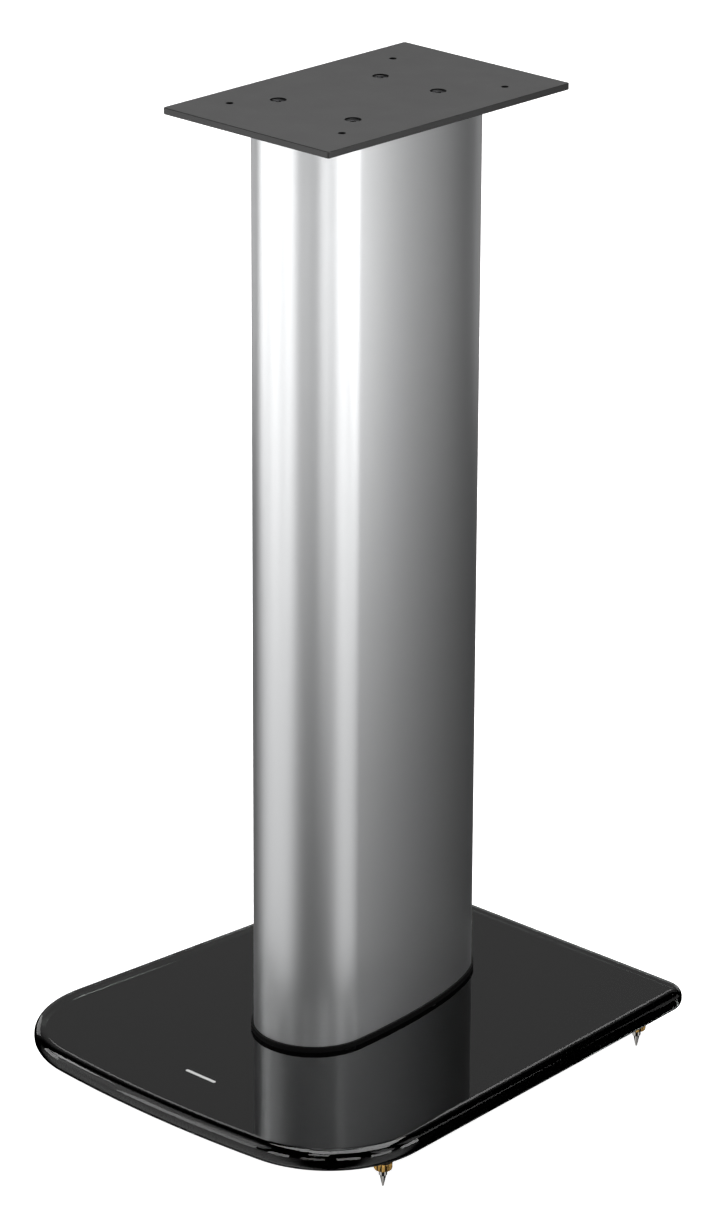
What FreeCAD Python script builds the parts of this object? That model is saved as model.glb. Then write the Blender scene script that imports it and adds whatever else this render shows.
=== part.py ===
import FreeCAD, Part
import math
import os

from FreeCAD import Vector

# Tall loudspeaker stand: steel top plate, teardrop aluminium column, glass base, levelling spikes.
# Millimetres, +Z up.  The origin is on the floor, under the middle of the base's outline.
# The front of the stand faces -Y, and every piece is symmetric about the plane X = 0.

# ---------------------------------------------------------------- driving dimensions
TOTAL_HEIGHT = 606.0          # floor to the top face of the top plate

PLATE_WIDTH = 130.0           # top plate, along X
PLATE_DEPTH = 200.0           # top plate, along Y
PLATE_THICK = 4.0
PLATE_CORNER_R = 1.5
PLATE_EDGE_CHAMFER = 0.3
PLATE_CENTRE_Y = 11.6         # the plate sits a little behind the middle of the base
MOUNT_SPACING_X = 88.0        # four small holes that take a loudspeaker's own screws
MOUNT_SPACING_Y = 135.0
MOUNT_HOLE_R = 2.25

COLUMN_HALF_WIDTH = 36.5      # radius of the column's round nose
COLUMN_TAIL = 134.5           # from the centre of the nose to the tip of the tail
COLUMN_NOSE_Y = -31.5         # centre of the nose
COLUMN_WALL = 3.0
BOSS_WALL = 3.0               # around each screw channel inside the column
BOSS_WEB = 5.0                # rib that joins a channel to the column's wall
BOSS_INSET = 7.2              # axis of a channel to the outside of the column
FRONT_BOSS_Y = -31.5
REAR_BOSS_Y = 46.0

GASKET_THICK = 1.5            # between the column and the top plate
GASKET_INSET = 0.4
TRIM_HEIGHT = 3.25            # black moulding that the column stands in
TRIM_FLOOR = 1.25
TRIM_LIP = 1.5

BASE_DEPTH = 340.0
BASE_BACK_HALF_WIDTH = 126.8
BASE_TAPER_DEG = 3.76         # each side widens by this much towards the front
BASE_FRONT_ARC_R = 850.0
BASE_FRONT_CORNER_R = 68.0
BASE_BACK_CORNER_R = 15.0
GLASS_THICK = 14.0
GLASS_UNDERSIDE_Z = 21.0
GLASS_EDGE_LAND = 1.0         # flat left in the middle of the pencil-polished edge
BACKING_THICK = 0.4

BUSH_WALL = 1.3               # nylon sleeves that keep the bolts off the glass
CLAMP_INSET = 1.0             # clamp plate and pad are this much smaller than the column
PAD_THICK = 1.5
CLAMP_THICK = 3.0
WASHER_R = 5.0
WASHER_THICK = 1.0

THREAD_R = 2.5                # M5 everywhere
THREAD_FIT = 0.05             # radial clearance of a thread in its tapped hole
HOLE_FIT = 0.25               # radial clearance of a screw in a plain hole
BUSH_FIT = 0.2                # radial clearance of a bolt in its sleeve
POCKET_FIT = 0.1              # gap around the column in its foot trim
SCREW_HEAD_R = 4.65           # countersunk plate screw
SCREW_LENGTH = 20.0
COUNTERSINK_FIT = 0.15        # the countersink's rim is this much wider than the head
COUNTERSINK_RECESS = 0.9
HEX_KEY = 3.0                 # across flats
HEX_DEPTH = 1.6
BOLT_HEAD_R = 4.75            # button-head bolts under the glass
BOLT_HEAD_H = 2.75
BOLT_GRIP = 15.0              # length of thread in the column's channel

SPIKE_INSET = 17.5            # spike axis to the side of the base
SPIKE_FROM_FRONT = 64.0
SPIKE_FROM_BACK = 32.5
SPIKE_CONE_H = 7.2
SPIKE_CONE_R = 1.9
SPIKE_TIP_R = 0.4
SPIKE_SHOULDER = 0.6
SPIKE_END_GAP = 1.1           # free thread above the spike inside its socket
SOCKET_R = 6.0                # steel disc bonded under the base
SOCKET_H = 4.1
NUT_R = 5.5
NUT_H = 5.0
NUT_CHAMFER = 0.5

BADGE_LENGTH = 24.0           # plain printed bar near the front edge
BADGE_WIDTH = 2.2
BADGE_THICK = 0.15
BADGE_FROM_FRONT = 42.0

# ---------------------------------------------------------------- levels that follow
GLASS_TOP_Z = GLASS_UNDERSIDE_Z + GLASS_THICK
COLUMN_BOTTOM_Z = GLASS_TOP_Z + TRIM_FLOOR
PLATE_BOTTOM_Z = TOTAL_HEIGHT - PLATE_THICK
COLUMN_TOP_Z = PLATE_BOTTOM_Z - GASKET_THICK
BACKING_Z = GLASS_UNDERSIDE_Z - BACKING_THICK
PAD_Z = BACKING_Z - PAD_THICK
CLAMP_Z = PAD_Z - CLAMP_THICK
WASHER_Z = CLAMP_Z - WASHER_THICK
SOCKET_Z = BACKING_Z - SOCKET_H
NUT_Z = SOCKET_Z - NUT_H
BASE_BACK_Y = BASE_DEPTH / 2
BASE_FRONT_Y = -BASE_DEPTH / 2
SPIKE_FRONT_Y = BASE_FRONT_Y + SPIKE_FROM_FRONT
SPIKE_REAR_Y = BASE_BACK_Y - SPIKE_FROM_BACK

# ---------------------------------------------------------------- radii that follow
GLASS_EDGE_R = (GLASS_THICK - GLASS_EDGE_LAND) / 2
TAPPED_R = THREAD_R + THREAD_FIT
CLEARANCE_HOLE_R = THREAD_R + HOLE_FIT
COUNTERSINK_R = SCREW_HEAD_R + COUNTERSINK_FIT
BOSS_R = THREAD_R + BOSS_WALL
BUSH_BORE_R = THREAD_R + BUSH_FIT
BUSH_OUTER_R = BUSH_BORE_R + BUSH_WALL

UP = Vector(0, 0, 1)


def column_half_width(y):
    """Half the width of the column between the centre of its nose and the tip of its tail."""
    return COLUMN_HALF_WIDTH * math.sqrt(1 - ((y - COLUMN_NOSE_Y) / COLUMN_TAIL) ** 2)


BOSSES = [(side * (column_half_width(y) - BOSS_INSET), y)
          for y in (FRONT_BOSS_Y, REAR_BOSS_Y) for side in (-1, 1)]
MOUNT_HOLES = [(sx * MOUNT_SPACING_X / 2, PLATE_CENTRE_Y + sy * MOUNT_SPACING_Y / 2)
               for sx in (-1, 1) for sy in (-1, 1)]


def base_half_width(y):
    """Half the width of the base between its straight sides, at a distance y from the middle."""
    return BASE_BACK_HALF_WIDTH + (BASE_BACK_Y - y) * math.tan(math.radians(BASE_TAPER_DEG))


CORNERS = {
    "front_left": (SPIKE_INSET - base_half_width(SPIKE_FRONT_Y), SPIKE_FRONT_Y),
    "front_right": (base_half_width(SPIKE_FRONT_Y) - SPIKE_INSET, SPIKE_FRONT_Y),
    "rear_left": (SPIKE_INSET - base_half_width(SPIKE_REAR_Y), SPIKE_REAR_Y),
    "rear_right": (base_half_width(SPIKE_REAR_Y) - SPIKE_INSET, SPIKE_REAR_Y),
}


# ---------------------------------------------------------------- small helpers
def cylinder(x, y, z, radius, height):
    """Upright cylinder whose lower face is centred on (x, y, z)."""
    return Part.makeCylinder(radius, height, Vector(x, y, z), UP)


def ring(x, y, z, outer, inner, height):
    """Upright tube."""
    return cylinder(x, y, z, outer, height).cut(cylinder(x, y, z, inner, height))


def drilled(shape, places, z, radius, height):
    """The shape with one upright hole at each place."""
    for x, y in places:
        shape = shape.cut(cylinder(x, y, z, radius, height))
    return shape


def turned(x, y, profile):
    """Solid turned about an upright axis through (x, y); profile is a list of (radius, z)."""
    points = [Vector(x + r, y, z) for r, z in profile]
    face = Part.Face(Part.makePolygon(points + points[:1]))
    return face.revolve(Vector(x, y, 0), UP, 360)


def hexagon(x, y, z, across_flats, height):
    """Upright hexagonal prism, used for the drive of a screw."""
    corner = across_flats / math.sqrt(3)
    points = [Vector(x + corner * math.cos(math.pi * i / 3), y + corner * math.sin(math.pi * i / 3), z)
              for i in range(7)]
    return Part.Face(Part.makePolygon(points)).extrude(UP * height)


def upright_edges(shape, keep):
    """The straight upright edges of a prism whose y passes the test."""
    found = []
    for edge in shape.Edges:
        box = edge.BoundBox
        if box.XLength < 1e-6 and box.YLength < 1e-6 and keep(box.Center.y):
            found.append(edge)
    return found


def save(name, shapes):
    """Write one node; several separate solids become one group."""
    solids = [solid for shape in shapes for solid in shape.removeSplitter().Solids]
    shape = solids[0] if len(solids) == 1 else Part.makeCompound(solids)
    shape.exportStep("parts/" + name + ".step")
    print(name, len(solids), "solid(s)", round(shape.Volume), "mm3")


def teardrop(grow, z, height):
    """Prism of the column's plan: a round nose and a half-elliptical tail, grown outwards."""
    radius = COLUMN_HALF_WIDTH + grow
    tail = COLUMN_TAIL + grow
    centre = Vector(0, COLUMN_NOSE_Y, z)
    nose = Part.Arc(centre + Vector(-radius, 0, 0), centre + Vector(0, -radius, 0),
                    centre + Vector(radius, 0, 0)).toShape()
    ellipse = Part.Ellipse(centre + Vector(0, tail, 0), centre + Vector(-radius, 0, 0), centre)
    flank = Part.ArcOfEllipse(ellipse, -math.pi / 2, math.pi / 2).toShape()
    wire = Part.Wire(Part.__sortEdges__([nose, flank]))
    return Part.Face(wire).extrude(UP * height)


# ---------------------------------------------------------------- top of the stand
def top_plate():
    """Steel plate with four countersunk screw holes and four mounting holes."""
    plate = Part.makeBox(PLATE_WIDTH, PLATE_DEPTH, PLATE_THICK,
                         Vector(-PLATE_WIDTH / 2, PLATE_CENTRE_Y - PLATE_DEPTH / 2, PLATE_BOTTOM_Z))
    plate = plate.makeFillet(PLATE_CORNER_R, upright_edges(plate, lambda y: True))
    rims = [e for e in plate.Edges if e.BoundBox.ZLength < 1e-6]
    plate = plate.makeChamfer(PLATE_EDGE_CHAMFER, rims)
    plate = drilled(plate, MOUNT_HOLES, PLATE_BOTTOM_Z, MOUNT_HOLE_R, PLATE_THICK)
    seat = TOTAL_HEIGHT - COUNTERSINK_RECESS
    for x, y in BOSSES:
        cone_depth = COUNTERSINK_R - CLEARANCE_HOLE_R
        plate = plate.cut(turned(x, y, [
            (0, TOTAL_HEIGHT + 1),
            (COUNTERSINK_R, TOTAL_HEIGHT + 1),
            (COUNTERSINK_R, seat),
            (CLEARANCE_HOLE_R, seat - cone_depth),
            (CLEARANCE_HOLE_R, PLATE_BOTTOM_Z - 1),
            (0, PLATE_BOTTOM_Z - 1),
        ]))
    return plate


def plate_screw(x, y):
    """Countersunk screw whose cone seats in the plate."""
    top = TOTAL_HEIGHT - COUNTERSINK_RECESS - COUNTERSINK_FIT
    cone = SCREW_HEAD_R - THREAD_R
    body = turned(x, y, [
        (0, top),
        (SCREW_HEAD_R, top),
        (THREAD_R, top - cone),
        (THREAD_R, top - SCREW_LENGTH),
        (0, top - SCREW_LENGTH),
    ])
    return body.cut(hexagon(x, y, top - HEX_DEPTH, HEX_KEY, HEX_DEPTH + 1))


def plate_gasket():
    """Thin black gasket between the column and the plate."""
    return drilled(teardrop(-GASKET_INSET, COLUMN_TOP_Z, GASKET_THICK), BOSSES,
                   COLUMN_TOP_Z, CLEARANCE_HOLE_R, GASKET_THICK)


# ---------------------------------------------------------------- column
def column():
    """Hollow extrusion with four full-length screw channels."""
    length = COLUMN_TOP_Z - COLUMN_BOTTOM_Z
    outside = teardrop(0, COLUMN_BOTTOM_Z, length)
    tube = outside.cut(teardrop(-COLUMN_WALL, COLUMN_BOTTOM_Z, length))
    for x, y in BOSSES:
        boss = cylinder(x, y, COLUMN_BOTTOM_Z, BOSS_R, length)
        web_end = math.copysign(COLUMN_HALF_WIDTH, x)
        web = Part.makeBox(abs(web_end - x), BOSS_WEB, length,
                           Vector(min(x, web_end), y - BOSS_WEB / 2, COLUMN_BOTTOM_Z))
        tube = tube.fuse(boss.fuse(web).common(outside))
    return drilled(tube.removeSplitter(), BOSSES, COLUMN_BOTTOM_Z, TAPPED_R, length)


def column_foot_trim():
    """Shallow black tray: the column stands in it, and its lip shows around the foot."""
    tray = teardrop(TRIM_LIP, GLASS_TOP_Z, TRIM_HEIGHT)
    pocket = teardrop(POCKET_FIT, COLUMN_BOTTOM_Z, TRIM_HEIGHT - TRIM_FLOOR)
    return drilled(tray.cut(pocket), BOSSES, GLASS_TOP_Z, CLEARANCE_HOLE_R, TRIM_HEIGHT)


# ---------------------------------------------------------------- base
def glass_base():
    """Toughened glass plate with a bowed front, large front corners and a rounded edge."""
    back = base_half_width(BASE_BACK_Y)
    sag = BASE_FRONT_ARC_R - math.sqrt(BASE_FRONT_ARC_R ** 2 - base_half_width(BASE_FRONT_Y) ** 2)
    front_y = BASE_FRONT_Y + sag
    front = base_half_width(front_y)
    z = GLASS_UNDERSIDE_Z
    corners = [Vector(front, front_y, z), Vector(back, BASE_BACK_Y, z),
               Vector(-back, BASE_BACK_Y, z), Vector(-front, front_y, z)]
    sides = [Part.makeLine(corners[i], corners[i + 1]) for i in range(3)]
    bow = Part.Arc(corners[3], Vector(0, BASE_FRONT_Y, z), corners[0]).toShape()
    glass = Part.Face(Part.Wire(sides + [bow])).extrude(UP * GLASS_THICK)
    glass = glass.makeFillet(BASE_FRONT_CORNER_R, upright_edges(glass, lambda y: y < 0))
    glass = glass.makeFillet(BASE_BACK_CORNER_R,
                             upright_edges(glass, lambda y: y > BASE_BACK_Y - BASE_BACK_CORNER_R / 2))
    rims = [e for e in glass.Edges if e.BoundBox.ZLength < 1e-6]
    glass = glass.makeFillet(GLASS_EDGE_R, rims)
    return drilled(glass, BOSSES, GLASS_UNDERSIDE_Z, BUSH_OUTER_R, GLASS_THICK)


def base_backing(glass):
    """Black film over the whole flat underside of the glass."""
    flats = [f for f in glass.Faces
             if f.BoundBox.ZLength < 1e-6 and abs(f.BoundBox.ZMin - GLASS_UNDERSIDE_Z) < 1e-6]
    return flats[0].extrude(UP * -BACKING_THICK)


def glass_bush(x, y):
    """Nylon sleeve in one of the glass's bolt holes."""
    return ring(x, y, GLASS_UNDERSIDE_Z, BUSH_OUTER_R, BUSH_BORE_R, GLASS_THICK)


def clamp_part(z, thick):
    """Pad or plate that spreads the bolts' load under the glass."""
    return drilled(teardrop(-CLAMP_INSET, z, thick), BOSSES, z, CLEARANCE_HOLE_R, thick)


def clamp_bolt(x, y):
    """Button-head bolt from under the base up into a channel of the column."""
    shank_top = COLUMN_BOTTOM_Z + BOLT_GRIP
    dome = BOLT_HEAD_R * 0.55
    body = turned(x, y, [
        (0, WASHER_Z - BOLT_HEAD_H),
        (dome, WASHER_Z - BOLT_HEAD_H),
        (BOLT_HEAD_R, WASHER_Z - BOLT_HEAD_H * 0.35),
        (BOLT_HEAD_R, WASHER_Z),
        (THREAD_R, WASHER_Z),
        (THREAD_R, shank_top),
        (0, shank_top),
    ])
    return body.cut(hexagon(x, y, WASHER_Z - BOLT_HEAD_H - 1, HEX_KEY, HEX_DEPTH + 1))


def badge():
    """Plain rounded bar printed on the glass."""
    y = BASE_FRONT_Y + BADGE_FROM_FRONT
    bar = Part.makeBox(BADGE_LENGTH, BADGE_WIDTH, BADGE_THICK,
                       Vector(-BADGE_LENGTH / 2, y - BADGE_WIDTH / 2, GLASS_TOP_Z))
    return bar.makeFillet(BADGE_WIDTH * 0.45, upright_edges(bar, lambda y: True))


# ---------------------------------------------------------------- feet
def spike_socket(x, y):
    """Threaded steel disc bonded under the base."""
    return ring(x, y, SOCKET_Z, SOCKET_R, TAPPED_R, SOCKET_H)


def spike(x, y):
    """Turned steel spike: threaded shank, small shoulder, cone with a blunted tip."""
    return turned(x, y, [
        (0, 0),
        (SPIKE_TIP_R, 0),
        (SPIKE_CONE_R, SPIKE_CONE_H),
        (THREAD_R, SPIKE_CONE_H + SPIKE_SHOULDER),
        (THREAD_R, BACKING_Z - SPIKE_END_GAP),
        (0, BACKING_Z - SPIKE_END_GAP),
    ])


def lock_nut(x, y):
    """Round brass nut that locks the spike against its socket."""
    return turned(x, y, [
        (TAPPED_R, NUT_Z),
        (NUT_R - NUT_CHAMFER, NUT_Z),
        (NUT_R, NUT_Z + NUT_CHAMFER),
        (NUT_R, NUT_Z + NUT_H - NUT_CHAMFER),
        (NUT_R - NUT_CHAMFER, NUT_Z + NUT_H),
        (TAPPED_R, NUT_Z + NUT_H),
    ])


# ---------------------------------------------------------------- write every node
os.makedirs("parts", exist_ok=True)

save("top_plate", [top_plate()])
save("plate_screws", [plate_screw(x, y) for x, y in BOSSES])
save("plate_gasket", [plate_gasket()])
save("column", [column()])
save("column_foot_trim", [column_foot_trim()])
base = glass_base()
save("glass_base", [base])
save("base_backing", [base_backing(base)])
save("glass_bushes", [glass_bush(x, y) for x, y in BOSSES])
save("clamp_pad", [clamp_part(PAD_Z, PAD_THICK)])
save("clamp_plate", [clamp_part(CLAMP_Z, CLAMP_THICK)])
save("clamp_washers", [ring(x, y, WASHER_Z, WASHER_R, CLEARANCE_HOLE_R, WASHER_THICK) for x, y in BOSSES])
save("clamp_bolts", [clamp_bolt(x, y) for x, y in BOSSES])
save("badge", [badge()])
for corner, (px, py) in CORNERS.items():
    save("spike_socket_" + corner, [spike_socket(px, py)])
    save("spike_" + corner, [spike(px, py)])
    save("lock_nut_" + corner, [lock_nut(px, py)])
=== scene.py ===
# %% [markdown]
# # A tall loudspeaker stand
# A black steel plate carries the loudspeaker.  Under it stands an aluminium column with a teardrop
# section, bolted through a thick glass base, and the base stands on four steel spikes with brass lock
# nuts.  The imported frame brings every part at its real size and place, so this lesson is about the
# finishes, the small turned parts, the light and the camera.  Sizes of parts are in millimetres until
# they reach Blender, which works in metres; the floor, the camera and the lights are placed in metres.

import math

import bmesh
import bpy
from mathutils import Matrix, Vector


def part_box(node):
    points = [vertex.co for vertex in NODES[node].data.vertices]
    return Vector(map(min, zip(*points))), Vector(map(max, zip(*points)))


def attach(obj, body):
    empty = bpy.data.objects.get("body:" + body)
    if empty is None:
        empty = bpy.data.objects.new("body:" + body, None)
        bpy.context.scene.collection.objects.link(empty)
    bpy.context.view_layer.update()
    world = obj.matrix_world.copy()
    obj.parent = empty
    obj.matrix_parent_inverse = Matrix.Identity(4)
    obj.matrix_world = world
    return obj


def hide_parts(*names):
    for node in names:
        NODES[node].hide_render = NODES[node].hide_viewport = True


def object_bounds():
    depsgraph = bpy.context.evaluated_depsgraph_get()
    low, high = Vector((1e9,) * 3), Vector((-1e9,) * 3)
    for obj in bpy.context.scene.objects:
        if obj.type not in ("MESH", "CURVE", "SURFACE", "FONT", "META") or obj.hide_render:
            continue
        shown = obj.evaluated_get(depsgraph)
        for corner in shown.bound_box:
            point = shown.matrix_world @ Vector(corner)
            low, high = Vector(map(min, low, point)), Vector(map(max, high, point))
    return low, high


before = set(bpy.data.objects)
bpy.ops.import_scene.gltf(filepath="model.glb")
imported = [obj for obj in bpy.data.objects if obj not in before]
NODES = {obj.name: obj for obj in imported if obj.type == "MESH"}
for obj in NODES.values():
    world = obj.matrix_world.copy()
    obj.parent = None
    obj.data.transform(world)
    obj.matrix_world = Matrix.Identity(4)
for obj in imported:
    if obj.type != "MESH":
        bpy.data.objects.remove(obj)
FRAME_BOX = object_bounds()
MM = 0.001
CORNERS = ("front_left", "front_right", "rear_left", "rear_right")
print("frame:", len(NODES), "parts,", [round(side / MM) for side in FRAME_BOX[1] - FRAME_BOX[0]], "mm")

# %% [markdown]
# ## One line, one node
# Finishes, light and repeated shapes are all node trees here.  A tree reads best when one line adds one
# node, so a single helper takes the node's type, what goes into its sockets and its settings.  Many
# node types do several operations, so the operation may follow the type's name.

# %% The helper that adds a node
def node(tree, kind, *sockets, **settings):
    """Add a node and return it.

    kind is the node's type, with its operation after a space where it has one.  Each of sockets is the
    value of the next numbered socket, or a dict of values under socket names or numbers.  A value may be
    plain, an output, a node (whose first output is meant), or a list of nodes for a socket that takes
    many links.
    """
    kind, _, operation = kind.partition(" ")
    made = tree.nodes.new(kind)
    if operation:
        made.operation = operation
    for name, value in settings.items():
        setattr(made, name, value)
    by_name = {}
    for number, given in enumerate(sockets):
        by_name.update(given if isinstance(given, dict) else {number: given})
    for name, given in by_name.items():
        for value in given if isinstance(given, list) and isinstance(given[0], bpy.types.Node) else [given]:
            if isinstance(value, bpy.types.Node):
                value = value.outputs[0]
            if isinstance(value, bpy.types.NodeSocket):
                tree.links.new(value, made.inputs[name])
            else:
                made.inputs[name].default_value = value
    return made


# %% [markdown]
# ## Colours and grain
# A paint chart gives colours as hex values made for a display, and a renderer needs linear ones, so one
# function turns the first into the second.  Every pattern sits on Object coordinates, which are metres
# on these parts, so a grain size in millimetres gives the noise its scale.  Noise seldom leaves its
# middle range, so that range is what gets spread over a finish's two roughness values.

# %% Helpers for finishes
NOISE_LOW, NOISE_HIGH = 0.3, 0.7


def linear(hex_colour):
    """The linear RGBA of an sRGB hex colour such as "#d8d9da"."""
    channels = [int(hex_colour[i:i + 2], 16) / 255 for i in (1, 3, 5)]
    return [c / 12.92 if c <= 0.04045 else ((c + 0.055) / 1.055) ** 2.4 for c in channels] + [1.0]


def finish(name, **values):
    """A new material; each value goes onto the shader's socket of that name, with _ for a space."""
    made = bpy.data.materials.new(name)
    made.use_nodes = True
    shader = made.node_tree.nodes["Principled BSDF"]
    for label, value in values.items():
        shader.inputs[label.replace("_", " ")].default_value = value
    return made, made.node_tree, shader


def grain(tree, size_mm, detail=2.0):
    """Noise from 0 to 1 whose grains have a real size."""
    place = node(tree, "ShaderNodeTexCoord").outputs["Object"]
    return node(tree, "ShaderNodeTexNoise", {"Vector": place, "Scale": 1 / (size_mm * MM), "Detail": detail})


def texture(tree, shader, pattern, roughness=None, depth_mm=0.0):
    """Let a pattern move the roughness between two values, or raise the surface by a real depth."""
    if roughness:
        spread = node(tree, "ShaderNodeMapRange", {
            "Value": pattern, "From Min": NOISE_LOW, "From Max": NOISE_HIGH,
            "To Min": roughness[0], "To Max": roughness[1]})
        tree.links.new(spread.outputs["Result"], shader.inputs["Roughness"])
    if depth_mm:
        bumps = node(tree, "ShaderNodeBump", {"Height": pattern, "Distance": depth_mm * MM, "Strength": 1.0})
        tree.links.new(bumps.outputs["Normal"], shader.inputs["Normal"])


def finish_parts(made, *names):
    """Give CAD parts this finish in their own material slots."""
    for name in names:
        NODES[name].material_slots[0].material = made
    print(made.name, "->", ", ".join(names) or "pieces made below")


# %% [markdown]
# ## Anodised aluminium
# The column is an extrusion, blasted with fine glass beads and then anodised in its own silver colour.
# Blasting turns sharp reflections into soft upright bands, and leaves a grain that is only just seen.
# A metal has no colour but that of its reflections, so Metallic is 1 and the look is all in the
# roughness and a very shallow grain.  Bead marks are near 0.1 mm, too fine to show, so they are drawn
# at 0.9 mm.

# %% Anodised aluminium
anodised, tree, shader = finish("bead_blasted_anodised_aluminium", Metallic=1.0, Base_Color=linear("#dcddde"))
beads = grain(tree, size_mm=0.9)
texture(tree, shader, beads, roughness=(0.365, 0.395), depth_mm=0.012)
finish_parts(anodised)

# %% [markdown]
# ## Powder-coated steel
# The plate is laser-cut steel with a baked powder coat: a plastic skin, black and satin, with a faint
# orange-peel ripple about a millimetre and a half across.  The ripple is bump, and the same powder
# settles unevenly, which a slow change of roughness shows.

# %% Satin black powder coat
powder, tree, shader = finish("satin_black_powder_coated_steel", Base_Color=linear("#0a0a0a"))
texture(tree, shader, grain(tree, size_mm=25.0), roughness=(0.38, 0.42))
texture(tree, shader, grain(tree, size_mm=1.5), depth_mm=0.01)
finish_parts(powder, "top_plate")

# %% [markdown]
# ## Rubber and moulded plastic
# The gasket under the plate and the pad under the glass are cut from neoprene sheet, which is nearly
# matt.  The trim at the column's foot is moulded ABS with a fine spark-eroded texture, so it is matt
# too, a little smoother.  Both are close to black: what keeps them apart is how much light the surface
# throws back, so their specular levels are lower than the usual 0.5.

# %% Neoprene and ABS
rubber, tree, shader = finish("matt_black_neoprene", Base_Color=linear("#0b0b0b"), Roughness=0.85,
                              Specular_IOR_Level=0.2)
texture(tree, shader, grain(tree, size_mm=0.6), depth_mm=0.03)
finish_parts(rubber, "plate_gasket", "clamp_pad")

moulded, tree, shader = finish("black_textured_abs", Base_Color=linear("#050505"), Roughness=0.6,
                               Specular_IOR_Level=0.12)
texture(tree, shader, grain(tree, size_mm=0.5), depth_mm=0.02)
finish_parts(moulded, "column_foot_trim")

# %% [markdown]
# ## Toughened glass over black enamel
# The base looks black and deep because it is clear float glass with black ceramic enamel fired onto its
# underside.  A black gloss plastic would look the same from above, but only real glass gives the thin
# pale line inside its far edges, where the ground edge is seen through the plate.  Soda-lime glass has
# an IOR of 1.52 and a trace of green.  The tint here is deeper than that of real float glass, to keep
# the rounded edge dark.  The enamel is fused on, with no air between, so it gives no reflection of its
# own: its specular level is 0.

# %% Glass and enamel
glass, tree, shader = finish("toughened_clear_glass", Base_Color=linear("#d3dad7"), Roughness=0.0, IOR=1.52,
                             Transmission_Weight=1.0)
finish_parts(glass, "glass_base")

enamel, tree, shader = finish("black_ceramic_enamel", Base_Color=linear("#030303"), Roughness=0.6,
                              Specular_IOR_Level=0.0)
texture(tree, shader, grain(tree, size_mm=1.0), depth_mm=0.01)
finish_parts(enamel)

# %% [markdown]
# ## Steel, brass, nylon and ink
# The screws are black-oxided, a dark thin skin that wears unevenly.  The clamp plate, washers and spike
# sockets are plated with zinc and passivated black, so that nothing pale shows under the black base, and
# they are mottled where the bath left them.  The spikes are turned and nickel plated, with fine rings
# left by the tool, drawn at 0.35 mm.  A Wave texture with a scale of 1 repeats every 0.314 m, so that
# length over the ring's gives its scale.  The lock nuts are bare brass.  The sleeves in the glass are
# black nylon, so that they do not show through it, and the mark on the glass is printed in pale ink.

# %% Small finishes
black_oxide, tree, shader = finish("black_oxide_steel", Metallic=1.0, Base_Color=linear("#38383a"))
texture(tree, shader, grain(tree, size_mm=2.0), roughness=(0.28, 0.45))
finish_parts(black_oxide)

zinc, tree, shader = finish("black_zinc_plated_steel", Metallic=1.0, Base_Color=linear("#2c2d30"))
texture(tree, shader, grain(tree, size_mm=4.0), roughness=(0.25, 0.42))
texture(tree, shader, grain(tree, size_mm=0.7), depth_mm=0.004)
finish_parts(zinc, "clamp_plate", "clamp_washers", *("spike_socket_" + corner for corner in CORNERS))

nickel, tree, shader = finish("turned_nickel_plated_steel", Metallic=1.0, Base_Color=linear("#d2cfca"),
                              Roughness=0.08)
TOOL_RING = 0.35
WAVE_LENGTH_M = 0.314
place = node(tree, "ShaderNodeTexCoord").outputs["Object"]
rings = node(tree, "ShaderNodeTexWave", {"Vector": place, "Scale": WAVE_LENGTH_M / (TOOL_RING * MM)},
             bands_direction="Z")
texture(tree, shader, rings.outputs["Fac"], depth_mm=0.002)
finish_parts(nickel)

brass, tree, shader = finish("bare_turned_brass", Metallic=1.0, Base_Color=linear("#d0a65f"))
texture(tree, shader, grain(tree, size_mm=1.0), roughness=(0.16, 0.28))
finish_parts(brass)

nylon, tree, shader = finish("black_nylon", Base_Color=linear("#0c0c0c"), Roughness=0.4)
texture(tree, shader, grain(tree, size_mm=0.5), depth_mm=0.01)
finish_parts(nylon, "glass_bushes")

ink, tree, shader = finish("pale_grey_screen_ink", Base_Color=linear("#c9cac9"), Roughness=0.5)
texture(tree, shader, grain(tree, size_mm=0.3), depth_mm=0.01)
finish_parts(ink, "badge")

# %% [markdown]
# ## Geometry Nodes with named sizes
# What repeats or follows a rule is made by Geometry Nodes.  Each tree below has a named input for every
# size, and ends in Realize Instances and Set Material, so that its result is one plain mesh.  One
# helper starts a tree, one ends it, and one runs it on a base mesh and keeps what comes out.

# %% Start, end and run a tree
SOCKET_KINDS = {float: "NodeSocketFloat", int: "NodeSocketInt", tuple: "NodeSocketVector",
                bpy.types.Material: "NodeSocketMaterial"}


def geometry_tree(name, sizes):
    """A tree with a geometry input, a named input for each size, and a geometry output."""
    made = bpy.data.node_groups.new(name, "GeometryNodeTree")
    made.interface.new_socket("Base", in_out="INPUT", socket_type="NodeSocketGeometry")
    for label, value in sizes.items():
        kind = SOCKET_KINDS[type(value)]
        made.interface.new_socket(label, in_out="INPUT", socket_type=kind).default_value = value
    made.interface.new_socket("Result", in_out="OUTPUT", socket_type="NodeSocketGeometry")
    return made, node(made, "NodeGroupInput").outputs


def end_tree(tree, geometry, sizes):
    """Instances become real mesh, all of it gets the finish, and it leaves the tree."""
    real = node(tree, "GeometryNodeRealizeInstances", {"Geometry": geometry}).outputs["Geometry"]
    done = node(tree, "GeometryNodeSetMaterial", {"Geometry": real, "Material": sizes["Finish"]})
    node(tree, "NodeGroupOutput", {"Result": done.outputs["Geometry"]})
    print("tree", tree.name, "has", len(tree.nodes), "nodes")


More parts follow.
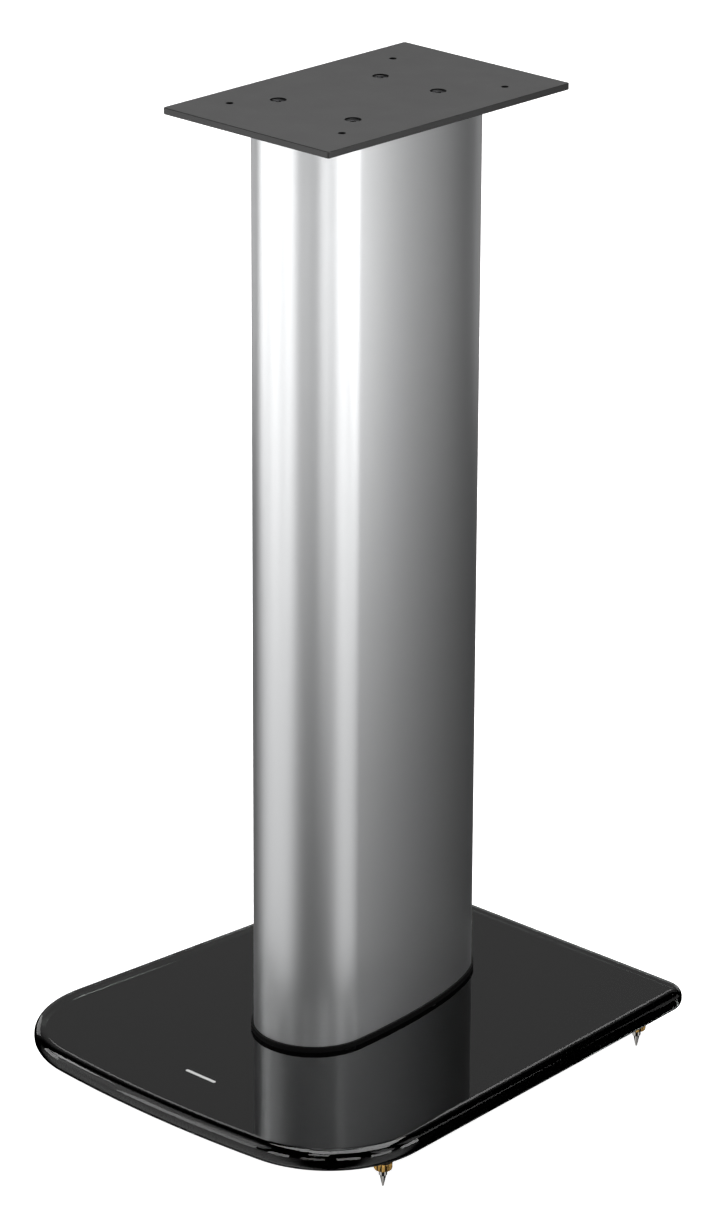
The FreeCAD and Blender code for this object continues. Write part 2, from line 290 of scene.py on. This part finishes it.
def run_tree(tree, base, values):
    """The plain mesh that a tree makes from a base mesh and its named sizes."""
    carrier = bpy.data.objects.new("carrier", base)
    bpy.context.scene.collection.objects.link(carrier)
    modifier = carrier.modifiers.new("tree", "NODES")
    modifier.node_group = tree
    for item in tree.interface.items_tree:
        if item.in_out == "INPUT" and item.name in values:
            modifier[item.identifier] = values[item.name]
    depsgraph = bpy.context.evaluated_depsgraph_get()
    mesh = bpy.data.meshes.new_from_object(carrier.evaluated_get(depsgraph), depsgraph=depsgraph)
    bpy.data.objects.remove(carrier)
    return mesh


# %% [markdown]
# ## Putting a piece on the stand
# A finished mesh already holds its real place, so its object stays at the origin.  It rides on the body
# that carries it and stands for the CAD part that it replaces.
# Where solids repeat inside one CAD part, their middles are read from its mesh: vertices that are
# linked by edges belong to one solid.

# %% Place a piece, find repeated solids
SHARP_ANGLE = 35
CAD_WELD = 0.001


def piece(name, mesh, body, slot, *stands_for):
    """Link a mesh, smooth it where its faces meet at less than the sharp angle, and tie it to the frame."""
    mesh.shade_smooth()
    mesh.set_sharp_from_angle(angle=math.radians(SHARP_ANGLE))
    made = bpy.data.objects.new(name, mesh)
    bpy.context.scene.collection.objects.link(made)
    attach(made, body)
    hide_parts(*stands_for)
    print(name, "has", len(mesh.polygons), "faces and rides on", body)


def box_mm(name):
    """The lowest and highest corner of a CAD part, in millimetres."""
    return [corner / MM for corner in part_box(name)]


def merged_copy(name):
    """A CAD part's mesh as a bmesh whose loose triangles share their vertices."""
    shape = bmesh.new()
    shape.from_mesh(NODES[name].data)
    bmesh.ops.remove_doubles(shape, verts=shape.verts, dist=CAD_WELD * MM)
    return shape


def middles(name):
    """The (x, y) middle, in millimetres, of each separate solid in a CAD part."""
    shape = merged_copy(name)
    waiting = set(shape.verts)
    found = []
    while waiting:
        solid, front = [], [waiting.pop()]
        while front:
            vert = front.pop()
            solid.append(vert.co)
            near = {edge.other_vert(vert) for edge in vert.link_edges} & waiting
            waiting -= near
            front += near
        found.append([(min(co[i] for co in solid) + max(co[i] for co in solid)) / 2 / MM for i in (0, 1)])
    shape.free()
    return sorted(found)


def points_at(places, height):
    """A mesh of loose points at (x, y) places, all at one height, in millimetres."""
    mesh = bpy.data.meshes.new("points")
    mesh.from_pydata([(x * MM, y * MM, height * MM) for x, y in places], [], [])
    return mesh


CHANNELS = middles("plate_screws")
print("screw channels at", [[round(value, 1) for value in place] for place in CHANNELS])

# %% [markdown]
# ## The column
# The plan of the extrusion follows a rule, a half circle at the nose and a half ellipse for the tail,
# and Geometry Nodes can write that rule straight down.  A cylinder of radius 1 is stretched by the nose
# radius in front of the nose's centre and by the tail length behind it, and a smaller one is cut from
# it.  Four screw channels and the ribs that hold them are set at the screws' places, trimmed to the
# outside, joined and bored.  Every solid is closed, so the quick Manifold solver can do the joining, and
# the bores are a tenth longer than the column, so that they cut through both of its ends.

# %% Tree: teardrop extrusion
CHANNEL_STEPS = 40
BORE_OVERSHOOT = 1.1
tree, sizes = geometry_tree("teardrop_extrusion", {
    "Nose radius": 0.0, "Tail length": 0.0, "Nose Y": 0.0, "Bottom": 0.0, "Top": 0.0, "Wall": 0.0,
    "Channel radius": 0.0, "Bore radius": 0.0, "Rib": 0.0, "Steps": 3, "Finish": anodised})
length = node(tree, "ShaderNodeMath SUBTRACT", sizes["Top"], sizes["Bottom"])
both_ends = node(tree, "ShaderNodeMath ADD", sizes["Top"], sizes["Bottom"])
middle = node(tree, "ShaderNodeMath MULTIPLY", both_ends, 0.5)
spot = node(tree, "GeometryNodeInputPosition").outputs["Position"]
along = node(tree, "ShaderNodeSeparateXYZ", {"Vector": spot}).outputs


def teardrop_prism(nose, tail):
    """An upright cylinder stretched to the teardrop plan."""
    unit = node(tree, "GeometryNodeMeshCylinder",
                {"Vertices": sizes["Steps"], "Radius": 1.0, "Depth": length})
    behind = node(tree, "ShaderNodeMath GREATER_THAN", along["Y"], 0.0)
    longer = node(tree, "ShaderNodeMath SUBTRACT", tail, nose)
    stretch = node(tree, "ShaderNodeMath MULTIPLY_ADD", behind, longer, nose)
    moved = node(tree, "ShaderNodeCombineXYZ", {
        "X": node(tree, "ShaderNodeMath MULTIPLY", along["X"], nose),
        "Y": node(tree, "ShaderNodeMath MULTIPLY_ADD", along["Y"], stretch, sizes["Nose Y"]),
        "Z": node(tree, "ShaderNodeMath ADD", along["Z"], middle)})
    return node(tree, "GeometryNodeSetPosition", {"Geometry": unit, "Position": moved})


def at_channels(shape, turn=(0.0, 0.0, 0.0)):
    """The shape at each of the base's points, as real mesh."""
    copies = node(tree, "GeometryNodeInstanceOnPoints",
                  {"Points": sizes["Base"], "Instance": shape, "Rotation": turn})
    return node(tree, "GeometryNodeRealizeInstances", {"Geometry": copies})


outside = teardrop_prism(sizes["Nose radius"], sizes["Tail length"])
hollow = teardrop_prism(node(tree, "ShaderNodeMath SUBTRACT", sizes["Nose radius"], sizes["Wall"]),
                        node(tree, "ShaderNodeMath SUBTRACT", sizes["Tail length"], sizes["Wall"]))
rib_size = node(tree, "ShaderNodeCombineXYZ", {"X": sizes["Nose radius"], "Y": sizes["Rib"], "Z": length})
half_radius = node(tree, "ShaderNodeMath MULTIPLY", sizes["Nose radius"], 0.5)
rib_shift = node(tree, "ShaderNodeCombineXYZ", {"X": half_radius})
rib = node(tree, "GeometryNodeMeshCube", {"Size": rib_size})
rib = node(tree, "GeometryNodeTransform", {"Geometry": rib, "Translation": rib_shift})
on_left = node(tree, "ShaderNodeMath LESS_THAN", along["X"], 0.0)
half_turn = node(tree, "ShaderNodeMath MULTIPLY", on_left, math.pi)
outward = node(tree, "ShaderNodeCombineXYZ", {"Z": half_turn})
channels = node(tree, "GeometryNodeMeshCylinder",
                {"Vertices": CHANNEL_STEPS, "Radius": sizes["Channel radius"], "Depth": length})
fittings = node(tree, "GeometryNodeMeshBoolean UNION",
                {"Mesh 2": [at_channels(channels), at_channels(rib, outward)]}, solver="MANIFOLD")
fittings = node(tree, "GeometryNodeMeshBoolean INTERSECT", {"Mesh 2": [fittings, outside]}, solver="MANIFOLD")
shell = node(tree, "GeometryNodeMeshBoolean DIFFERENCE", {"Mesh 1": outside, "Mesh 2": hollow},
             solver="MANIFOLD")
whole = node(tree, "GeometryNodeMeshBoolean UNION", {"Mesh 2": [shell, fittings]}, solver="MANIFOLD")
bore_length = node(tree, "ShaderNodeMath MULTIPLY", length, BORE_OVERSHOOT)
bores = node(tree, "GeometryNodeMeshCylinder",
             {"Vertices": CHANNEL_STEPS, "Radius": sizes["Bore radius"], "Depth": bore_length})
bored = node(tree, "GeometryNodeMeshBoolean DIFFERENCE", {"Mesh 1": whole, "Mesh 2": at_channels(bores)},
             solver="MANIFOLD")
end_tree(tree, bored, sizes)

# %% Make the column
WALL = 3.0
CHANNEL_RADIUS = 5.5
TAPPED_RADIUS = 2.55
RIB = 5.0
PLAN_STEPS = 256
low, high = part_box("column")
column = run_tree(tree, points_at(CHANNELS, (low.z + high.z) / 2 / MM), {
    "Nose radius": high.x, "Tail length": high.y - (low.y + high.x), "Nose Y": low.y + high.x,
    "Bottom": low.z, "Top": high.z, "Wall": WALL * MM, "Channel radius": CHANNEL_RADIUS * MM,
    "Bore radius": TAPPED_RADIUS * MM, "Rib": RIB * MM, "Steps": PLAN_STEPS, "Finish": anodised})
piece("extruded_column", column, "stand", "anodised_aluminium", "column")

# %% [markdown]
# ## Turned parts
# Screws, bolts, spikes and nuts come off a lathe: each is a half-section carried round an axis.  A
# Screw modifier would do that, but its poles stay open and every row stays round.  Rows listed one by one
# give both: each has the same number of points, a row may have flats (for a hexagon socket), and a row
# of no radius closes the end once its points are welded into one.

# %% A half-section carried round an axis
POLE_WELD = 0.0001


def turned(rows, steps, centre=(0, 0)):
    """A closed mesh from rows of (radius, height[, flats]) in millimetres, about an upright axis."""
    shape = bmesh.new()
    rings = []
    for radius, height, *flats in rows:
        ring = []
        for i in range(steps):
            angle = 2 * math.pi * i / steps
            reach = radius
            if flats:
                half_flat = math.pi / flats[0]
                reach = radius / math.cos(angle % (2 * half_flat) - half_flat)
            ring.append(shape.verts.new(((centre[0] + reach * math.cos(angle)) * MM,
                                         (centre[1] + reach * math.sin(angle)) * MM, height * MM)))
        rings.append(ring)
    for below, above in zip(rings, rings[1:] + rings[:1]):
        for i in range(steps):
            j = (i + 1) % steps
            shape.faces.new((below[i], below[j], above[j], above[i]))
    bmesh.ops.remove_doubles(shape, verts=shape.verts, dist=POLE_WELD * MM)
    bmesh.ops.recalc_face_normals(shape, faces=shape.faces)
    mesh = bpy.data.meshes.new("turned")
    shape.to_mesh(mesh)
    shape.free()
    return mesh


def from_axis(tree, centre):
    """What a turned part's trees need at each point: its arm from the axis, the arm's length, the angle."""
    spot = node(tree, "GeometryNodeInputPosition").outputs["Position"]
    from_centre = node(tree, "ShaderNodeVectorMath SUBTRACT", spot, centre)
    arm = node(tree, "ShaderNodeVectorMath MULTIPLY", from_centre, (1.0, 1.0, 0.0))
    reach = node(tree, "ShaderNodeVectorMath LENGTH", arm).outputs["Value"]
    part = node(tree, "ShaderNodeSeparateXYZ", {"Vector": arm}).outputs
    return arm, reach, node(tree, "ShaderNodeMath ARCTAN2", part["Y"], part["X"])


def push_out(tree, base, chosen, arm, reach, distance):
    """Move the chosen points away from the axis by a distance."""
    share = node(tree, "ShaderNodeMath DIVIDE", distance, reach)
    offset = node(tree, "ShaderNodeVectorMath SCALE", arm, {"Scale": share})
    return node(tree, "GeometryNodeSetPosition", {"Geometry": base, "Selection": chosen, "Offset": offset})


# %% [markdown]
# ## Knurled lock nuts
# Each nut is turned from brass bar, and a wheel presses straight teeth into its rim for the fingers.
# The teeth repeat, so a tree makes them: the rim's radius follows a cosine with one wave per tooth,
# from 0 at a crest down to the full depth between two teeth, which keeps the nut one closed mesh.  Only
# points past a share of the rim's radius move, so the chamfers and the bore stay round.

# %% Tree: straight knurl
RIM_SHARE = 0.985
tree, sizes = geometry_tree("straight_knurl", {
    "Centre": (0.0, 0.0, 0.0), "Rim radius": 0.0, "Depth": 0.0, "Teeth": 3, "Finish": brass})
arm, reach, angle = from_axis(tree, sizes["Centre"])
wave = node(tree, "ShaderNodeMath COSINE", node(tree, "ShaderNodeMath MULTIPLY", angle, sizes["Teeth"]))
below_rim = node(tree, "ShaderNodeMath MULTIPLY_ADD", wave, 0.5, -0.5)
groove = node(tree, "ShaderNodeMath MULTIPLY", below_rim, sizes["Depth"])
near_rim = node(tree, "ShaderNodeMath MULTIPLY", sizes["Rim radius"], RIM_SHARE)
on_rim = node(tree, "ShaderNodeMath GREATER_THAN", reach, near_rim)
end_tree(tree, push_out(tree, sizes["Base"], on_rim, arm, reach, groove), sizes)

# %% Make the four nuts
TEETH = 16
STEPS_PER_TOOTH = 8
KNURL_DEPTH = 0.6
NUT_CHAMFER = 0.5
BORE_CHAMFER = 0.25
for corner in CORNERS:
    low, high = box_mm("lock_nut_" + corner)
    x, y = (low.x + high.x) / 2, (low.y + high.y) / 2
    rim = (high.x - low.x) / 2
    blank = turned([
        (TAPPED_RADIUS, high.z - BORE_CHAMFER), (TAPPED_RADIUS, low.z + BORE_CHAMFER),
        (TAPPED_RADIUS + BORE_CHAMFER, low.z), (rim - NUT_CHAMFER, low.z), (rim, low.z + NUT_CHAMFER),
        (rim, high.z - NUT_CHAMFER), (rim - NUT_CHAMFER, high.z), (TAPPED_RADIUS + BORE_CHAMFER, high.z)],
        TEETH * STEPS_PER_TOOTH, (x, y))
    nut = run_tree(tree, blank, {"Centre": (x * MM, y * MM, 0.0), "Rim radius": rim * MM,
                                 "Depth": KNURL_DEPTH * MM, "Teeth": TEETH, "Finish": brass})
    piece("knurled_nut_" + corner, nut, "lock_nut_" + corner, "brass", "lock_nut_" + corner)

# %% [markdown]
# ## Threads
# A thread is a groove that climbs one pitch in each turn.  On a blank whose rows are a sixth of a pitch
# apart, the radius only has to follow a zigzag of height less angle, which is another rule for a tree.
# The zigzag runs between 0 and a half, so twice the depth, taken inwards, cuts the whole groove.  It
# fades in and out over a pitch at each end, as a rolled thread does.

# %% Tree: rolled thread
CREST_TOLERANCE = 0.01
thread_tree, sizes = geometry_tree("rolled_thread", {
    "Centre": (0.0, 0.0, 0.0), "Crest radius": 0.0, "Depth": 0.0, "Pitch": 1.0, "From": 0.0, "To": 0.0,
    "Finish": black_oxide})
tree = thread_tree
arm, reach, angle = from_axis(tree, sizes["Centre"])
spot = node(tree, "GeometryNodeInputPosition").outputs["Position"]
height = node(tree, "ShaderNodeSeparateXYZ", {"Vector": spot}).outputs["Z"]
turns = node(tree, "ShaderNodeMath DIVIDE", angle, 2 * math.pi)
pitches = node(tree, "ShaderNodeMath DIVIDE", height, sizes["Pitch"])
climb = node(tree, "ShaderNodeMath SUBTRACT", pitches, turns)
zigzag = node(tree, "ShaderNodeMath PINGPONG", climb, 0.5)
after_start = node(tree, "ShaderNodeMath SUBTRACT", height, sizes["From"])
before_end = node(tree, "ShaderNodeMath SUBTRACT", sizes["To"], height)
to_end = node(tree, "ShaderNodeMath MINIMUM", after_start, before_end)
fade = node(tree, "ShaderNodeClamp", {"Value": node(tree, "ShaderNodeMath DIVIDE", to_end, sizes["Pitch"])})
full_depth = node(tree, "ShaderNodeMath MULTIPLY", sizes["Depth"], -2.0)
groove = node(tree, "ShaderNodeMath MULTIPLY", zigzag, full_depth)
groove = node(tree, "ShaderNodeMath MULTIPLY", groove, fade)
on_crest = node(tree, "ShaderNodeMath COMPARE", reach, sizes["Crest radius"], CREST_TOLERANCE * MM)
end_tree(tree, push_out(tree, sizes["Base"], on_crest, arm, reach, groove), sizes)

# %% Cut a thread on a turned blank
THREAD_RADIUS = 2.5
THREAD_DEPTH = 0.4
PITCH = 0.8
ROWS_PER_PITCH = 6
STEPS_PER_TURN = 36
END_CHAMFER = 0.45


def shank(start, stop):
    """Rows of the thread's radius from one height to another, close enough together to cut a thread."""
    count = round(abs(stop - start) / PITCH * ROWS_PER_PITCH)
    return [(THREAD_RADIUS, start + (stop - start) * i / count) for i in range(count + 1)]


def threaded(rows, start, stop, made_of, centre=(0, 0)):
    """The turned part with a thread between two heights."""
    return run_tree(thread_tree, turned(rows, STEPS_PER_TURN, centre), {
        "Centre": (centre[0] * MM, centre[1] * MM, 0.0), "Crest radius": THREAD_RADIUS * MM,
        "Depth": THREAD_DEPTH * MM, "Pitch": PITCH * MM, "From": start * MM, "To": stop * MM,
        "Finish": made_of})


# %% [markdown]
# ## Spikes
# Each spike is one turned piece: a cone with a blunted tip, a small shoulder, a plain stretch that the
# fingers see, and the thread that climbs through the lock nut into the socket under the glass.

# %% Make the four spikes
CONE_HEIGHT = 7.2
CONE_RADIUS = 1.9
SHOULDER = 0.6
SHOULDER_BEVEL = 0.1
PLAIN_SHANK = 3.0
BLUNTED_TIP = ((0, 0), (0.2, 0.03), (0.36, 0.14), (0.46, 0.35))
for corner in CORNERS:
    low, high = box_mm("spike_" + corner)
    middle_x, middle_y = (low.x + high.x) / 2, (low.y + high.y) / 2
    cone_top = low.z + CONE_HEIGHT
    shoulder_top = cone_top + SHOULDER
    thread_top = high.z - END_CHAMFER
    rows = [(radius, low.z + rise) for radius, rise in BLUNTED_TIP]
    rows += [(CONE_RADIUS, cone_top), (THREAD_RADIUS - SHOULDER_BEVEL, shoulder_top - SHOULDER_BEVEL)]
    rows += shank(shoulder_top, thread_top) + [(THREAD_RADIUS - END_CHAMFER, high.z), (0, high.z)]
    spike = threaded(rows, shoulder_top + PLAIN_SHANK, thread_top, nickel, (middle_x, middle_y))
    piece("turned_spike_" + corner, spike, "spike_" + corner, "bright_steel", "spike_" + corner)

# %% [markdown]
# ## Screws and bolts
# Four countersunk screws hold the plate to the column, and four button-head bolts hold the column to
# the glass.  All eight have a hexagon socket.  One of each kind is made on the Z axis, and a tree sets a
# copy at each screw channel.

# %% Tree: a fastener at each channel
fastener_tree, sizes = geometry_tree("fastener_at_each_channel", {"Finish": black_oxide})
fastener_tree.interface.new_socket("Fastener", in_out="INPUT", socket_type="NodeSocketObject")
model = node(fastener_tree, "GeometryNodeObjectInfo", {"Object": sizes["Fastener"]}).outputs["Geometry"]
copies = node(fastener_tree, "GeometryNodeInstanceOnPoints", {"Points": sizes["Base"], "Instance": model})
end_tree(fastener_tree, copies.outputs["Instances"], sizes)


def at_each_channel(mesh):
    """Copies of one fastener at every screw channel, as one mesh."""
    on_axis = bpy.data.objects.new("fastener", mesh)
    bpy.context.scene.collection.objects.link(on_axis)
    made = run_tree(fastener_tree, points_at(CHANNELS, 0), {"Fastener": on_axis, "Finish": black_oxide})
    bpy.data.objects.remove(on_axis)
    return made


HEX_REACH = 1.5
HEX_DEPTH = 1.6
HEX_BEVEL = 0.2


def hexagon_socket(face, inward):
    """Rows of a hexagon socket from its floor out to the face; inward is 1 for up into the part, else -1."""
    floor_height = face + inward * HEX_DEPTH
    return [(0, floor_height), (HEX_REACH, floor_height, 6), (HEX_REACH, face + inward * HEX_BEVEL, 6),
            (HEX_REACH + HEX_BEVEL, face, 6)]


# %% Countersunk screws in the plate
CSK_RADIUS = 4.65
CSK_BEVEL = 0.14
low, high = box_mm("plate_screws")
cone_foot = high.z - (CSK_RADIUS - THREAD_RADIUS)
rows = hexagon_socket(high.z, -1)
rows += [(CSK_RADIUS - 2 * CSK_BEVEL, high.z), (CSK_RADIUS - CSK_BEVEL, high.z - CSK_BEVEL)]
rows += shank(cone_foot, low.z + END_CHAMFER) + [(THREAD_RADIUS - END_CHAMFER, low.z), (0, low.z)]
screw = threaded(rows, low.z + END_CHAMFER, cone_foot - PITCH, black_oxide)
piece("countersunk_screws", at_each_channel(screw), "stand", "black_oxide_steel", "plate_screws")

# %% Button-head bolts under the glass
BUTTON_RADIUS = 4.75
BUTTON_FLAT = 2.6
PLAIN_NECK = 2.0
DOME_SHARE = 0.8
DOME_STEPS = 8
low, high = box_mm("clamp_bolts")
seat = box_mm("clamp_washers")[0].z
dome_rise = (seat - low.z) * DOME_SHARE
rows = hexagon_socket(low.z, 1)
for i in range(DOME_STEPS + 1):
    sweep = math.pi / 2 * i / DOME_STEPS
    rows.append((BUTTON_FLAT + (BUTTON_RADIUS - BUTTON_FLAT) * math.sin(sweep),
                 low.z + dome_rise * (1 - math.cos(sweep))))
rows += [(BUTTON_RADIUS, seat)] + shank(seat, high.z - END_CHAMFER)
rows += [(THREAD_RADIUS - END_CHAMFER, high.z), (0, high.z)]
bolt = threaded(rows, seat + PLAIN_NECK, high.z - END_CHAMFER, black_oxide)
piece("button_head_bolts", at_each_channel(bolt), "stand", "black_oxide_steel", "clamp_bolts")

# %% [markdown]
# ## The enamel layer
# Two faces that share one place confuse a ray tracer, and an air gap would add a second reflection.  The
# real enamel has neither, so the layer is a copy of the CAD part whose upper face is set a fiftieth of
# a millimetre up inside the glass, where a ray meets it before it can leave the glass.

# %% Make the enamel layer
FUSED = 0.02
UPPER_FACE_BAND = 0.1
FLAT_ANGLE = 1
shape = merged_copy("base_backing")
upper = max(vert.co.z for vert in shape.verts)
for vert in shape.verts:
    if vert.co.z > upper - UPPER_FACE_BAND * MM:
        vert.co.z += FUSED * MM
bmesh.ops.dissolve_limit(shape, angle_limit=math.radians(FLAT_ANGLE), verts=shape.verts, edges=shape.edges)
layer = bpy.data.meshes.new("enamel_layer")
shape.to_mesh(layer)
shape.free()
layer.materials.append(enamel)
piece("enamel_layer", layer, "stand", "black_backing", "base_backing")

# %% [markdown]
# ## Floor
# The stand is shown on a light table: a pale matt sheet that glows of itself and is lit from above as
# well, so that hardly any shadow can be seen on it.  Glossy parts would mirror such a bright floor and
# lose their black, so reflections and rays through the glass skip it and meet the lower half of the
# room instead.  It blocks no light either, so that half of the room lights the stand too.  Seen from
# below it is clear, so the underside of the stand can be looked at.

# %% Make the floor
FLOOR_REACH = 9.0
mesh = bpy.data.meshes.new("light_table")
mesh.from_pydata([(x * FLOOR_REACH, y * FLOOR_REACH, 0) for x, y in ((-1, -1), (1, -1), (1, 1), (-1, 1))],
                 [], [(0, 1, 2, 3)])
floor = bpy.data.objects.new("light_table", mesh)
bpy.context.scene.collection.objects.link(floor)
sheet, tree, shader = finish("pale_light_table", Base_Color=linear("#f2f2f2"), Roughness=0.9,
                             Specular_IOR_Level=0.0, Emission_Color=linear("#ffffff"), Emission_Strength=0.95)
below = node(tree, "ShaderNodeNewGeometry").outputs["Backfacing"]
clear = node(tree, "ShaderNodeBsdfTransparent").outputs["BSDF"]
one_sided = node(tree, "ShaderNodeMixShader", {"Fac": below, 1: shader.outputs["BSDF"], 2: clear})
tree.links.new(one_sided.outputs["Shader"], tree.nodes["Material Output"].inputs["Surface"])
mesh.materials.append(sheet)
floor.visible_glossy = False
floor.visible_transmission = False
floor.visible_shadow = False
print("floor reaches", FLOOR_REACH, "m each way")

# %% [markdown]
# ## Camera
# The stand is seen from its front right, from above, through a long lens some 3 m away, which keeps the
# column's sides nearly parallel.  A position and a direction could be typed in, but azimuth, elevation
# and distance about a point on the stand say what the picture does, and follow the frame.

# %% Make the camera
AZIMUTH = 43.50
ELEVATION = 21.18
ROLL = 0.25
DISTANCE = 3.0977
LENS = 153.74
AIM_FROM_MIDDLE = Vector((4.9, -0.8, -10.5)) * MM
aim = (FRAME_BOX[0] + FRAME_BOX[1]) / 2 + AIM_FROM_MIDDLE
turn, tilt = math.radians(AZIMUTH), math.radians(ELEVATION)
back = Vector((math.sin(turn) * math.cos(tilt), -math.cos(turn) * math.cos(tilt), math.sin(tilt)))
right = Vector((math.cos(turn), math.sin(turn), 0))
axes = Matrix((right, back.cross(right), back)).transposed() @ Matrix.Rotation(math.radians(ROLL), 3, "Z")
camera = bpy.data.objects.new("camera", bpy.data.cameras.new("camera"))
bpy.context.scene.collection.objects.link(camera)
camera.matrix_world = Matrix.Translation(aim + back * DISTANCE) @ axes.to_4x4()
camera.data.lens = LENS
bpy.context.scene.camera = camera
print("camera at", [round(value, 3) for value in camera.matrix_world.translation])

# %% [markdown]
# ## Light
# The column's silver is a soft picture of what stands around it, so the light is built as that picture.
# Its wall is upright and the camera looks down, so it mirrors what lies low.  Panels just under half a
# metre wide therefore stand on the ground in a ring round the stand, each with its own brightness, and
# the column fades towards its foot because its lower end sees past them.  The dark stripe beside the
# nose mirrors the gap between the two low walls of the room below, where one panel is weaker as well.
# Three panels that stand above the ring lift the column's upper half, and a large overhead panel lights
# the floor.  The plate's top mirrors one panel high at the back, and two small panels, high at the left
# and in front, put the highlights on the rounded edge of the glass.

# %% Softboxes
RING = 1.3
PANEL_WIDTH = 0.45
LOW_TOP = 0.45
TALL_TOP = 1.2


def softbox(name, place, size, radiance, target):
    """An area light of the given brightness, whatever its size, facing the target."""
    data = bpy.data.lights.new(name, "AREA")
    data.shape = "RECTANGLE"
    data.size, data.size_y = size
    data.energy = radiance * math.pi * size[0] * size[1]
    lamp = bpy.data.objects.new(name, data)
    bpy.context.scene.collection.objects.link(lamp)
    facing = (place - target).to_track_quat("Z", "Y").to_matrix().to_4x4()
    lamp.matrix_world = Matrix.Translation(place) @ facing
    lamp.visible_camera = False


def ring_panel(azimuth, bottom, top, radiance):
    """An upright panel on the ring round the stand; azimuth is counted from +X towards +Y."""
    turn = math.radians(azimuth)
    level = (bottom + top) / 2
    place = Vector((RING * math.cos(turn), RING * math.sin(turn), level))
    softbox("panel_%d_%d" % (azimuth, 100 * top), place, (PANEL_WIDTH, top - bottom), radiance,
            Vector((0, 0, level)))


for azimuth, radiance in ((-150, 2.2), (-120, 2.2), (-90, 2.8), (-60, 1.5), (-30, 3.0), (0, 3.0), (30, 3.6),
                          (60, 0.3), (100, 0.4), (170, 0.8)):
    ring_panel(azimuth, 0.0, LOW_TOP, radiance)
for azimuth, radiance in ((-116, 1.0), (6, 0.9), (40, 0.6)):
    ring_panel(azimuth, LOW_TOP, TALL_TOP, radiance)
for name, place, size, radiance, aim_height in (
        ("overhead", (0.2, 0.4, 3.2), (3.0, 3.0), 4.0, 0.3),
        ("edge_left", (-1.7, -1.0, 1.05), (0.45, 0.45), 4.0, 0.05),
        ("edge_front", (0.75, -1.2, 1.7), (0.6, 0.6), 3.0, 0.05),
        ("high_back", (-1.7, 1.85, 2.2), (1.6, 1.2), 1.1, 0.6)):
    softbox(name, Vector(place), size, radiance, Vector((0, 0, aim_height)))

# %% [markdown]
# ## The room
# Past the panels is a dark room with pale walls only where the stand should mirror something pale.  The
# world paints each wall as a band: so far round, so wide, and between two elevations, all with soft
# edges (half of the half-width at the sides, ten degrees at top and bottom).  Two low bands run from the
# horizon all the way down, and are what the column mirrors past the panels' lower edges.  A high one at
# the left lights the column's left edge, and a faint one far behind is what turns the top of the black
# glass a dark grey.  Where the room is seen directly, past the edge of the floor or through it from
# below, it is plain white, which changes no reflection.

# %% World
SIDE_SOFTNESS = 0.5
END_SOFTNESS = 10


def pale_wall(tree, flat, elevation, azimuth, half_width, lowest, highest, strength):
    """The brightness of one pale wall with soft edges; every angle is in degrees."""
    turn = math.radians(azimuth)
    near = node(tree, "ShaderNodeVectorMath DOT_PRODUCT", flat, (math.cos(turn), math.sin(turn), 0.0))
    away = node(tree, "ShaderNodeMath DEGREES", node(tree, "ShaderNodeMath ARCCOSINE", near.outputs["Value"]))
    glow = strength
    for angle, dark, bright in (
            (away, half_width * (1 + SIDE_SOFTNESS), half_width * (1 - SIDE_SOFTNESS)),
            (elevation, lowest - END_SOFTNESS, lowest + END_SOFTNESS),
            (elevation, highest + END_SOFTNESS, highest - END_SOFTNESS)):
        edge = node(tree, "ShaderNodeMapRange", {"Value": angle, "From Min": dark, "From Max": bright},
                    interpolation_type="SMOOTHSTEP")
        glow = node(tree, "ShaderNodeMath MULTIPLY", edge, glow)
    return glow


world = bpy.data.worlds.new("studio_room")
bpy.context.scene.world = world
world.use_nodes = True
tree = world.node_tree
direction = node(tree, "ShaderNodeTexCoord").outputs["Generated"]
rise = node(tree, "ShaderNodeSeparateXYZ", {"Vector": direction}).outputs["Z"]
elevation = node(tree, "ShaderNodeMath DEGREES", node(tree, "ShaderNodeMath ARCSINE", rise))
flat = node(tree, "ShaderNodeVectorMath MULTIPLY", direction, (1.0, 1.0, 0.0))
flat = node(tree, "ShaderNodeVectorMath NORMALIZE", flat)
glow = 0.0
for azimuth, half_width, lowest, highest, strength in (
        (-122, 37, -110, 0, 0.7), (15, 23, -110, 0, 0.65), (-140, 16, 0, 45, 1.0), (135, 32, 0, 45, 0.28)):
    wall = pale_wall(tree, flat, elevation, azimuth, half_width, lowest, highest, strength)
    glow = node(tree, "ShaderNodeMath ADD", glow, wall)
background = tree.nodes["Background"]
background.inputs["Color"].default_value = linear("#ffffff")
seen_directly = node(tree, "ShaderNodeLightPath").outputs["Is Camera Ray"]
shown = node(tree, "ShaderNodeMapRange", {"Value": seen_directly, "To Min": glow, "To Max": 1.0})
tree.links.new(shown.outputs["Result"], background.inputs["Strength"])
bpy.context.scene.view_settings.view_transform = "Standard"
bpy.context.scene.cycles.use_denoising = True
print("world has", len(tree.nodes), "nodes")
